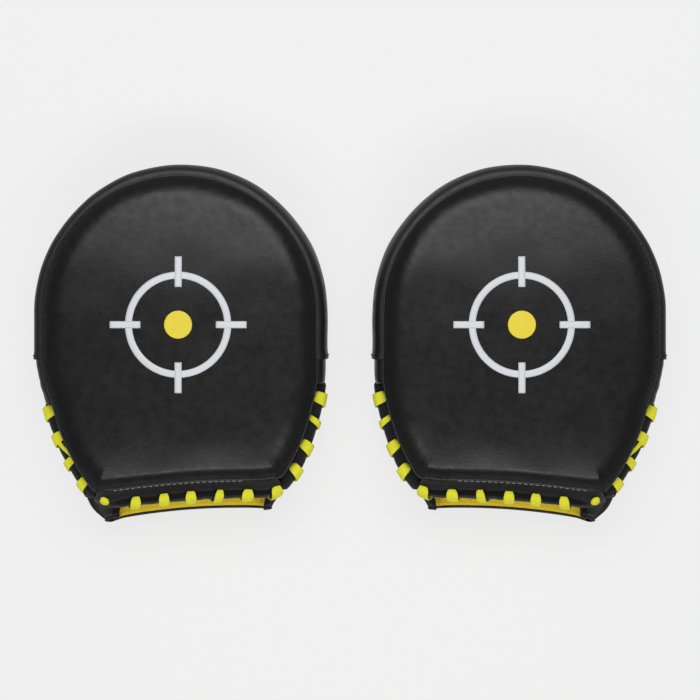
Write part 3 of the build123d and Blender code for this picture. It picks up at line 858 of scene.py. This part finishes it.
def lip_rings(stations):
    """Sections of the lip strip's outside, with its long fold and its creases."""
    points, normals = rim(stations)
    line = lip_sections(stations, LIP_OUTER)
    rise = LIP_OUTER[:, 2]
    along = points @ np.array([-WRIST_NORMAL[1], WRIST_NORMAL[0]])
    fold_at = 0.55 + 0.035 * waves(np.stack([along, along], 1), 60, 31)
    offset = rise[None, :] - fold_at[:, None]
    fold = -1.3 * np.exp(-((offset / 0.045) ** 2))
    fold = fold + 0.9 * smooth(0.0, -0.1, offset) * smooth(-0.5, -0.2, offset)
    fade = smooth(LIP_LEFT, LIP_LEFT + 14, along) * smooth(LIP_RIGHT, LIP_RIGHT - 24, along)
    creases = 0.5 * waves(np.stack([np.repeat(along, len(rise)), np.tile(rise * 9, len(along))], 1), 9, 33)
    lift = fold * fade[:, None] + creases.reshape(len(along), -1) * smooth(1.0, 0.85, rise) * 0.8
    line[..., :2] += normals[:, None] * lift[..., None] * 0.6
    line[..., 2] += lift * 0.7
    return line


def lip_strip(side):
    """Leather strip from the bottom stitch line down over the lip of the wrist mouth."""
    stations = spaced(station_at_x(LIP_LEFT), station_at_x(LIP_RIGHT), 1.5)
    outer = lip_rings(stations)
    inner = lip_sections(stations, LIP_OUTER + [LEATHER, 0, 0])
    skins = [(np.concatenate([outer, inner[:, ::-1]], 1), "folded")]
    piece(side, "lip_flap", skins, "lip_leather", ["lip_strip"])


def roll_frame(stations):
    """Middle of the laced roll, and the outward direction there."""
    points, normals = rim(stations)
    corner = np.exp(-(np.linalg.norm(points - THUMB_CORNER, axis=1) / 24) ** 2)
    middle = points - normals * (ROLL_INSET - 2.4 * corner)[:, None]
    z = ROLL_Z + 0.5 * waves(points, 26, 41)
    return at_height(middle, z), at_height(normals, 0.0)


def binding_roll(side):
    """Webbing roll that the laces go round, at both sides of the lip."""
    skins = []
    ends = (
        (station_at(-1, ROLL_REACH), station_at_x(LIP_LEFT)),
        (station_at_x(LIP_RIGHT - 3), station_at(1, ROLL_REACH)),
    )
    for start, end in ends:
        stations = spaced(start, end, 1.3)
        middle, out = roll_frame(stations)
        reach = np.minimum(stations - start, end - stations)
        swell = (0.5 + 0.5 * smooth(0, 5, reach)) * (1 + 0.05 * waves(middle, 14, 42))
        section = ellipse(ROLL_RADIUS, ROLL_RADIUS, 28) * swell[:, None, None]
        skins.append((swept(middle, out, UP, section), "round"))
    piece(side, "binding_roll", skins, "webbing", ["lace_binding"])


def wrap_stations():
    """Lengths along the outline at which the wraps lie, spread nearly evenly."""
    first, last = station_at(-1, FIRST_WRAP_REACH), station_at(1, LAST_WRAP_REACH)
    return np.linspace(first, last, LACE_COUNT) + WRAP_SHIFTS


def lace_strip(path, across, out, widths, thickness):
    """Flat lace of varying width along a path."""
    section = flat_strip(LACE_WIDTH, thickness)
    sideways = section[:, 0] / LACE_WIDTH * widths[:, None]
    profile = np.stack([sideways, np.broadcast_to(section[:, 1], sideways.shape)], -1)
    return swept(path, across, out, profile), "round"


def side_wrap(station, width, slant):
    """One wrap round the roll: out of the gap by the gusset, over the roll and under it."""
    toward_wrist = 1 if rim([station])[0][0, 0] < 0 else -1
    turn = np.linspace(0, 1, 26)
    angles = np.radians(WRAP_START - WRAP_TURN * turn)
    widths = width * np.interp(turn, [0, 0.06, 0.14, 0.3, 0.52, 1], [0.5, 0.78, 0.92, 1.0, 1.1, 0.9])
    slide = toward_wrist * slant * 1.15 * (turn - 0.28)
    middle, out = roll_frame(station + slide)
    sunk = 2.0 * (1 - smooth(0, 0.12, turn))
    radius = (ROLL_RADIUS + 0.4 + 0.7 * np.sin(np.pi * np.clip(turn * 1.4, 0, 1)) - sunk)[:, None]
    radial = out * np.cos(angles)[:, None] + UP * np.sin(angles)[:, None]
    path = middle + radial * radius
    across = unit(np.cross(tangents(path), radial))
    return lace_strip(path, across, radial, widths, LACE_THICK)


def lip_knot(station, radius):
    """End of the lace, pulled into a round flat knot on the lip."""
    section = lip_sections(np.array([station]), LIP_OUTER)[0]
    rows = np.array([0.37, 0.45, 0.53]) * (len(section) - 1)
    places = np.stack([np.interp(rows, np.arange(len(section)), section[:, i]) for i in range(3)], 1)
    normal = rim([station])[1][0]
    along = np.array([-normal[1], normal[0], 0.0])
    down = unit(places[2] - places[0])
    up = unit(np.cross(down, along))
    turn = np.linspace(0, 2 * np.pi, 28, endpoint=False)[:, None]
    circle = along * np.cos(turn) + down * np.sin(turn) * KNOT_LENGTH
    uneven = 1 + 0.05 * np.sin(3 * turn + 1) + 0.03 * np.sin(5 * turn)
    rings = []
    for angle in np.radians((-70, -35, 0, 25, 45, 62, 76, 87)):
        middle = places[1] + up * (2.2 * math.sin(angle) + 0.6)
        rings.append(middle + circle * uneven * radius * math.cos(angle) ** 0.7)
    return np.array(rings), "round"


def lip_wrap(station, width, slant):
    """One wrap over the lip: out of its hole, and under the edge."""
    steps = 26
    turn = np.linspace(0, 1, steps)
    dense = np.linspace(0, 1, 60)
    rows = dense * (len(LIP_OUTER) - 1)
    profile = np.stack([np.interp(rows, np.arange(len(LIP_OUTER)), LIP_OUTER[:, i]) for i in range(3)], 1)
    share = 0.44 + 0.56 * turn
    stations = station - slant * (turn - 0.2)
    sections = lip_sections(stations, profile)
    path = np.stack([[np.interp(share[k], dense, sections[k, :, i]) for i in range(3)] for k in range(steps)])
    normals = rim(stations)[1]
    along = np.stack([-normals[:, 1], normals[:, 0], np.zeros(steps)], 1)
    lift = np.interp(turn, [0, 0.05, 0.13, 0.27, 0.45, 0.8, 1], [-2.4, 0.2, 1.8, 2.4, 1.7, 0.7, 0.4])
    path = path + unit(np.cross(tangents(path), along)) * lift[:, None]
    out = unit(np.cross(tangents(path), along))
    across = unit(np.cross(tangents(path), out))
    shares = [0.5, 0.78, 0.96, 1.08, 1.12, 1.06, 0.97, 0.95]
    widths = width * np.interp(turn, [0, 0.03, 0.06, 0.1, 0.17, 0.32, 0.5, 1], shares)
    return lace_strip(path, across, out, widths, LACE_THICK * 1.2)


def lace_run(start, end):
    """Stretch of lace seen between two wraps, lying in the gap above the roll."""
    turn = np.linspace(0, 1, 14)
    middle, out = roll_frame(start + (end - start) * turn)
    lean = np.radians(58 + 46 * turn)[:, None]
    radial = out * np.cos(lean) + UP * np.sin(lean)
    path = middle + radial * (ROLL_RADIUS + 0.3)
    across = unit(np.cross(tangents(path), radial))
    widths = np.interp(turn, [0, 0.2, 1], [4.2, 3.4, 1.6])
    return lace_strip(path, across, radial, widths, LACE_THICK)


def lacing(side):
    stations = wrap_stations()
    wraps = []
    for index, (station, width, slant) in enumerate(zip(stations, WRAP_WIDTHS, WRAP_SLANTS)):
        if index == KNOT_WRAP:
            wraps.append(lip_knot(station, width / 2))
        elif KNOT_WRAP < index <= LAST_LIP_WRAP:
            wraps.append(lip_wrap(station, width, slant))
        else:
            wraps.append(side_wrap(station, width, slant))
    wraps.append(lace_run(stations[1] + 3, stations[2] - 2))
    piece(side, "lace_wraps", wraps, "lace", ["lace"])


# ---- Hand compartment ------------------------------------------------------------------------
HOOD_LINE = rounded(HOOD_POINTS, 2, False)


def leather_ring(line, plane, thickness):
    """Closed ring of a section: along its outer line, and back a thickness further in."""
    inner = line + unit(np.cross(plane, tangents(line))) * np.broadcast_to(thickness, (len(line),))[:, None]
    return np.concatenate([line, inner[::-1]])


def hood_line(station):
    """Outer line of the hood from its rim to the middle, and the normal of the plane that it lies in."""
    edge = rim([station])[0][0]
    middle = np.array([0.0, min(edge[1], DOME_Y)])
    inwards = unit(middle - edge)
    reach = np.linalg.norm(middle - edge)
    flat_insets = np.linspace(HOOD_LINE[-1, 0] + 6, reach, 9)
    flat_part = np.stack([flat_insets, np.full(9, HOOD_LINE[-1, 1])], 1)
    section = np.concatenate([HOOD_LINE, flat_part])
    plan = edge + inwards * section[:, :1]
    away_from_ends = smooth(4, 26, section[:, 0]) * smooth(0, 40, reach - section[:, 0])
    lift = 0.5 * (1 + waves(plan, 38, 51)) * away_from_ends
    return at_height(plan, section[:, 1] + lift), np.array([-inwards[1], inwards[0], 0.0])


def hood(side):
    """Leather over the fingertips, with its taped free edge."""
    drop = DOME_Y - HOOD_EDGE_Y
    stations = spaced(-drop, math.pi * HALF_WIDTH + drop, 4)
    rings = []
    for station in stations:
        line, plane = hood_line(station)
        rings.append(leather_ring(line, -plane, LEATHER))
    piece(side, "hood_shell", [(rings, "folded")], "back_leather", ["finger_hood"])
    right, left = hood_line(stations[0])[0], hood_line(stations[-1])[0]
    path = rounded(np.concatenate([right, left[-2::-1]]) + [0, -0.8, 0], 1, False)
    out = -unit(np.cross(ALONG_Y, tangents(path)))
    path = path - out * LEATHER / 2
    skins = [(swept(path, ALONG_Y, out, ellipse(3.4, LEATHER / 2 + 0.35, 12)), "round")]
    piece(side, "hood_tape", skins, "gusset_leather", ["hood_binding"])
    row = path[4:-4] + out[4:-4] * (LEATHER / 2 + 0.3) + [0, 2.0, 0]
    row[:, 2] = np.maximum(row[:, 2], 0.45)
    piece(side, "hood_stitches", stitch_row(row, out[4:-4], *HOOD_STITCH), "thread")


def half_width(table, y):
    """Half-width of the back at this distance, smoothed between the table's points."""
    ys, widths = np.array(table)[::-1].T
    return sum(np.interp(y + shift, ys, widths) for shift in (-6, -3, 0, 3, 6)) / 5


def back_section(y):
    """Outer line of the back across one section, from the right wall over the back to the left."""
    at_mouth = smooth(-60, MOUTH_Y, y)
    wall = rounded(WALL_LINE, 2, False)
    upper = smooth(30, 39, wall[:, 1])
    curl = (smooth(-100, -114, y) - 0.65 * smooth(-116, -127, y)) * upper
    sink = 0.75 * (wall[:, 1] - 30) * curl + 4.0 * smooth(-112, -127, y) * upper
    right_x = half_width(BACK_RIGHT, y + 4.5 * at_mouth)
    left_x = half_width(BACK_LEFT, y - 4.2 * at_mouth)
    right = np.stack([right_x - wall[:, 0] - CURL_RIGHT * curl, wall[:, 1] - sink], 1)
    left = np.stack([wall[:, 0] + CURL_LEFT * curl - left_x, wall[:, 1] - sink], 1)[::-1]
    floor_x = np.linspace(right[-1, 0], left[0, 0], 22)[1:-1]
    floor = np.stack([floor_x, np.full(20, wall[-1, 1])], 1)
    section = np.concatenate([right, floor, left])
    x, z = section.T
    slant = -WRIST_NORMAL[0] / WRIST_NORMAL[1]
    arch = MOUTH_ARCH * np.cos(np.clip(x / 58, -1, 1) * np.pi / 2) * smooth(-104, MOUTH_Y, y)
    left_wall = np.concatenate([np.zeros(len(upper) + len(floor)), upper[::-1]])
    drawn_back = 2.0 * left_wall * smooth(-112, -127, y)
    ys = y + slant * x * at_mouth + arch + drawn_back
    z = z + MOUTH_RISE * smooth(-108, -128, y) * smooth(34, 10, z)
    z = z + 0.22 * (1 + waves(np.stack([x, ys], 1), 34, 61)) * smooth(38, 30, z)
    return np.stack([x, ys, z], 1)


def wall_thickness(line, y):
    """The side walls are padded towards the mouth, the left one most."""
    upright = smooth(8, 20, line[:, 2]) * smooth(38, 30, line[:, 2]) * smooth(-96, -112, y)
    return LEATHER + upright * np.where(line[:, 0] < 0, 3.6, 1.2)


def back_panel(side):
    """Leather over the back of the hand, running out into the cuff."""
    rings = []
    for y in spaced(HOOD_EDGE_Y + 6, MOUTH_Y, 3):
        line = back_section(y)
        rings.append(leather_ring(line, ALONG_Y, wall_thickness(line, y)))
    piece(side, "back_shell", [(rings, "folded")], "back_leather", ["back_panel"])


def lining(side):
    """Yellow cloth inside the cuff, from the palm to the mouth."""
    keep = slice(5, -12)        # the rest of the section is the walls' upper edges
    rings = []
    for y in spaced(-84, MOUTH_Y + 0.6, 2):
        line = back_section(y)
        inwards = unit(np.cross(ALONG_Y, tangents(line)))
        line = line + inwards * (wall_thickness(line, y) + 0.15)[:, None]
        ripple = 0.2 * waves(line[keep], 11, 71)[:, None] + 0.25
        rings.append(leather_ring(line[keep] + inwards[keep] * ripple, ALONG_Y, CLOTH))
    obj = piece(side, "mouth_lining", [(rings, "folded")], "lining", ["cuff_lining"])


def palm_lining(side):
    """Yellow cloth glued under the palm panel."""
    points, normals = rim(round_the_rim(6))
    edge = points - normals * 9
    rings = []
    for z, shares in ((38.85, np.linspace(0.03, 1, 9)), (38.45, np.linspace(1, 0.03, 9))):
        for share in shares:
            rings.append(at_height(FACE_MIDDLE + (edge - FACE_MIDDLE) * share, z))
    obj = piece(side, "palm_cloth", [(rings, "round")], "lining")


def palm_dome(side):
    """Padded dome that the palm closes on, with a piped foot."""
    (x0, x1), (y0, y1), (z0, z1) = node_ranges(side, "palm_grip")
    centre = np.array([(x0 + x1) / 2, (y0 + y1) / 2])
    radius = (x1 - x0) / 2
    circle = ellipse(1.0, 1.0, 72)
    rings = [at_height(centre + circle * radius * share, z1) for share in (0.05, 0.5, 0.98)]
    for level in np.linspace(0.02, 0.99, 16):
        reach = radius * math.sqrt(1 - level**2)
        plan = centre + circle * reach
        dimple = 0.35 * waves(plan, 13, 81) * level
        rings.append(at_height(plan, z1 - (z1 - z0) * level + dimple))
    piece(side, "grip_dome", [(rings, "round")], "lining", ["palm_grip"])
    foot = at_height(centre + circle * (radius + 0.4), z1 - 1.0)
    piping = [(swept(foot, at_height(circle, 0.0), UP, ellipse(1.0, 1.0)), "loop")]
    piece(side, "grip_piping", piping, "gusset_leather")


def elastic_loop(side, node, name):
    """Ribbed elastic hung from the palm panel."""
    (x0, x1), (y0, y1), (z0, z1) = node_ranges(side, node)
    half = ELASTIC / 2
    corners = [(x0 + half, z1), (x0 + half, z0 + half), (x1 - half, z0 + half), (x1 - half, z1)]
    line = [corners[0]]
    for (ax, az), (bx, bz) in zip(corners, corners[1:]):
        steps = spaced(0, 1, 4 / math.hypot(bx - ax, bz - az))[1:]
        line += [(ax + (bx - ax) * t, az + (bz - az) * t) for t in steps]
    line = rounded(line, 2, False)
    path = np.stack([line[:, 0], np.full(len(line), (y0 + y1) / 2), line[:, 1]], 1)
    out = unit(np.cross(ALONG_Y, tangents(path)))
    wavy = 1 + 0.015 * waves(path, 9, 82)[:, None, None]
    section = flat_strip(y1 - y0, ELASTIC) - [0, half]
    piece(side, name, [(swept(path, ALONG_Y, out, section * wavy), "round")], "elastic", [node])


def inner_pad(side):
    """Lined foam over the back of the hand, narrower towards the wrist."""
    box = node_ranges(side, "back_pad")
    rings = soft_slab(box, 14.0, 2.0)
    half = (box[0][1] - box[0][0]) / 2
    depth = LOWER_RADIUS - HALF_WIDTH + half
    drawn_in = np.maximum(SIDE_FOOT_Y - rings[..., 1], 0)
    rings[..., 0] *= (np.sqrt(depth**2 - drawn_in**2) - (LOWER_RADIUS - HALF_WIDTH)) / half
    rings[..., 2] += 0.3 * waves(rings[..., :2], 26, 83) * smooth(box[2][0], box[2][1], rings[..., 2])
    piece(side, "hand_pad", [(rings, "round")], "lining", ["back_pad"])


def mouth_tape(side):
    """Tape folded over the rim of the mouth."""
    line = back_section(MOUTH_Y)
    depth = wall_thickness(line, MOUTH_Y) + CLOTH
    inwards = unit(np.cross(ALONG_Y, tangents(line)))
    path = line + inwards * depth[:, None] / 2 + [0, -0.4, 0]
    from_end = np.minimum(np.arange(len(path)), np.arange(len(path))[::-1])
    swell = ((depth / 2 + 0.6) * (0.35 + 0.65 * smooth(0, 6, from_end)))[:, None]
    section = ellipse(1.0, 1.0, 12)
    height = section[:, 1] * swell
    profile = np.stack([np.broadcast_to(section[:, 0] * 1.2, height.shape), height], -1)
    skins = [(swept(path, ALONG_Y, inwards, profile), "round")]
    piece(side, "mouth_tape", skins, "gusset_leather", ["cuff_binding"])


# ---- Wrist strap -----------------------------------------------------------------------------
def edge_stitches(box, z):
    """Stitches on the underside of a flat piece, all round it and a little in from its edge."""
    (x0, x1), (y0, y1) = box[:2]
    left, right = x0 + EDGE_INSET, x1 - EDGE_INSET
    low, high = y0 + EDGE_INSET, y1 - EDGE_INSET
    corners = [(left, low), (right, low), (right, high), (left, high), (left, low)]
    path = []
    for (ax, ay), (bx, by) in zip(corners, corners[1:]):
        steps = spaced(0, 1, 1.5 / max(abs(bx - ax), abs(by - ay)))
        path += [(ax + (bx - ax) * t, ay + (by - ay) * t, z) for t in steps[:-1]]
    return stitch_row(np.array(path), -UP, *EDGE_STITCH)


def closure(side):
    """Strap with its hook and loop, the pad under it and the tab that holds it."""
    (x0, x1), ys, (z0, _) = node_ranges(side, "wrist_strap")
    rings = soft_slab(((x0 + 1.0, x1), ys, (z0 + STRAP_UNDER, z0 + STRAP_OVER)), 7.0, 0.8)
    hem_y = spaced(ys[0], ys[1], 2.0)
    hem_path = np.stack([np.full_like(hem_y, x0 + 1.7), hem_y, np.full_like(hem_y, z0 + STRAP_OVER)], 1)
    hem = swept(hem_path, ALONG_X, UP, ellipse(HEM_RADIUS, HEM_RADIUS, 16))
    piece(side, "closing_strap", [(rings, "round"), (hem, "round")], "strap", ["wrist_strap"], "strap")
    strap_stitches = edge_stitches(((x0 + 10, x1), ys), z0 + STRAP_UNDER + 0.02)
    piece(side, "strap_stitches", strap_stitches, "thread", (), "strap")
    for name, node, corner, edge, look, body, fill in FLAT_PIECES:
        slab = soft_slab(node_ranges(side, node), corner, edge)
        piece(side, name, [(slab, "round")], look, [node], body)
    tab_box = node_ranges(side, "strap_anchor")
    piece(side, "tab_stitches", edge_stitches(tab_box, tab_box[2][0] + 0.27), "thread")


def wrist_roll(side):
    """Padded roll along the cuff, gathered at its ends."""
    (x0, x1), (y0, y1), (z0, z1) = node_ranges(side, "wrist_roll")
    xs = np.linspace(x0, x1, 50)
    from_end = np.minimum(xs - x0, x1 - xs)
    radius = (z1 - z0) / 2 * np.sqrt(np.clip(1 - np.clip(1 - from_end / 5, 0, 1) ** 2, 0.02, 1))
    path = np.stack([xs, np.full_like(xs, (y0 + y1) / 2), np.full_like(xs, (z0 + z1) / 2)], 1)
    skins = [(swept(path, ALONG_Y, UP, ellipse(1, 1, 18) * radius[:, None, None]), "round")]
    piece(side, "rest_roll", skins, "back_leather", ["wrist_roll"])


# ---- Print -----------------------------------------------------------------------------------
def on_face(plan):
    """Plan points laid on the striking face."""
    return np.concatenate([plan, crown_z(plan[..., 0], plan[..., 1])[..., None] + INK_LIFT], -1)


def flat_mark(inner_line, outer_line):
    """Rings of a film of ink between the two long edges of a printed shape."""
    share = np.linspace(0, 1, 4)[:, None, None]
    rows = on_face(inner_line * (1 - share) + outer_line * share)
    return np.swapaxes(np.concatenate([rows, rows[::-1] - [0, 0, INK_THICK]]), 0, 1)


def target_print(side):
    """Generic aiming mark: a ring broken by four ticks round a centre dot."""
    circle = ellipse(1.0, 1.0, 120)
    ring = flat_mark(*(MARK_MIDDLE + circle * radius for radius in RING_RADII))
    skins = [(ring, "loop")]
    for heading in np.radians((0, 90, 180, 270)):
        along = np.array([math.cos(heading), math.sin(heading)])
        half = np.array([-along[1], along[0]]) * TICK_HALF_WIDTH
        run = MARK_MIDDLE + along * np.linspace(*TICK_ENDS, 12)[:, None]
        skins.append((flat_mark(run - half, run + half) + [0, 0, 0.03], "round"))
    piece(side, "print_ring", skins, "print_white", ["target_print"])
    top = np.array([on_face(MARK_MIDDLE + circle[::3] * radius) for radius in DOT_RADII])
    dot = np.concatenate([top[::-1] - [0, 0, INK_THICK], top])
    piece(side, "print_dot", [(dot, "round")], "print_yellow")


# ---- Stage -----------------------------------------------------------------------------------
def stage():
    """Pale floor that sweeps up into a wall, bright enough to show hardly any shadow."""
    profile = rounded([(0.0001, 0), (2.0, 0), (4.2, 0), (4.8, 0.05), (5.0, 0.3), (5.0, 0.8)], 3, False)
    turns = np.linspace(0, 2 * np.pi, 73)
    points = [(r * math.cos(turn), r * math.sin(turn), z) for r, z in profile for turn in turns]
    corners = np.array([0, 1, len(turns) + 1, len(turns)])
    rows = range(len(profile) - 1)
    faces = [tuple(row * len(turns) + k + corners) for row in rows for k in range(len(turns) - 1)]
    data = bpy.data.meshes.new("studio_floor")
    data.from_pydata(points, [], faces)
    data.shade_smooth()
    floor = bpy.data.objects.new("studio_floor", data)
    bpy.context.collection.objects.link(floor)
    floor.location.z = -0.0004
    material, shader = new_material("studio_floor", 1.0)
    shader.inputs["Base Color"].default_value = (0.12, 0.12, 0.12, 1)
    shader.inputs["Specular IOR Level"].default_value = 0.0
    shader.inputs["Emission Color"].default_value = (1, 1, 1, 1)
    shader.inputs["Emission Strength"].default_value = FLOOR_GLOW
    data.materials.append(material)


def softbox(name, place, aim, size, watts):
    light = bpy.data.lights.new(name, "AREA")
    light.shape = "RECTANGLE"
    light.size, light.size_y = size
    light.energy = watts
    obj = bpy.data.objects.new(name, light)
    bpy.context.collection.objects.link(obj)
    obj.location = place
    obj.rotation_euler = (Vector(aim) - Vector(place)).to_track_quat("-Z", "Y").to_euler()


def lights_and_camera():
    world = bpy.data.worlds.new("studio")
    world.use_nodes = True
    world.node_tree.nodes["Background"].inputs["Color"].default_value = (1, 1, 1, 1)
    world.node_tree.nodes["Background"].inputs["Strength"].default_value = WORLD_GLOW
    bpy.context.scene.world = world
    for settings in SOFTBOXES:
        softbox(*settings)
    camera = bpy.data.cameras.new("camera")
    camera.lens = CAMERA_LENS
    obj = bpy.data.objects.new("camera", camera)
    bpy.context.collection.objects.link(obj)
    obj.location = CAMERA_PLACE
    bpy.context.scene.camera = obj
    bpy.context.scene.view_settings.view_transform = "Standard"


def paint_kept_nodes(side):
    """Materials of the CAD pieces that keep their shape."""
    for node, look in KEPT_NODES.items():
        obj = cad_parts[f"{side}_{node}"]
        for slot in obj.material_slots:
            slot.material = LOOKS[look]


def main():
    for side in SIDES:
        face_panel(side)
        face_foam(side)
        edge_foam(side)
        seam_bead(side)
        face_stitches(side)
        gussets(side)
        lower_wall(side)
        lip_strip(side)
        binding_roll(side)
        lacing(side)
        hood(side)
        back_panel(side)
        lining(side)
        palm_lining(side)
        palm_dome(side)
        elastic_loop(side, "finger_band", "finger_elastic")
        elastic_loop(side, "thumb_loop", "thumb_elastic")
        inner_pad(side)
        mouth_tape(side)
        closure(side)
        wrist_roll(side)
        target_print(side)
        paint_kept_nodes(side)
    stage()
    lights_and_camera()


main()
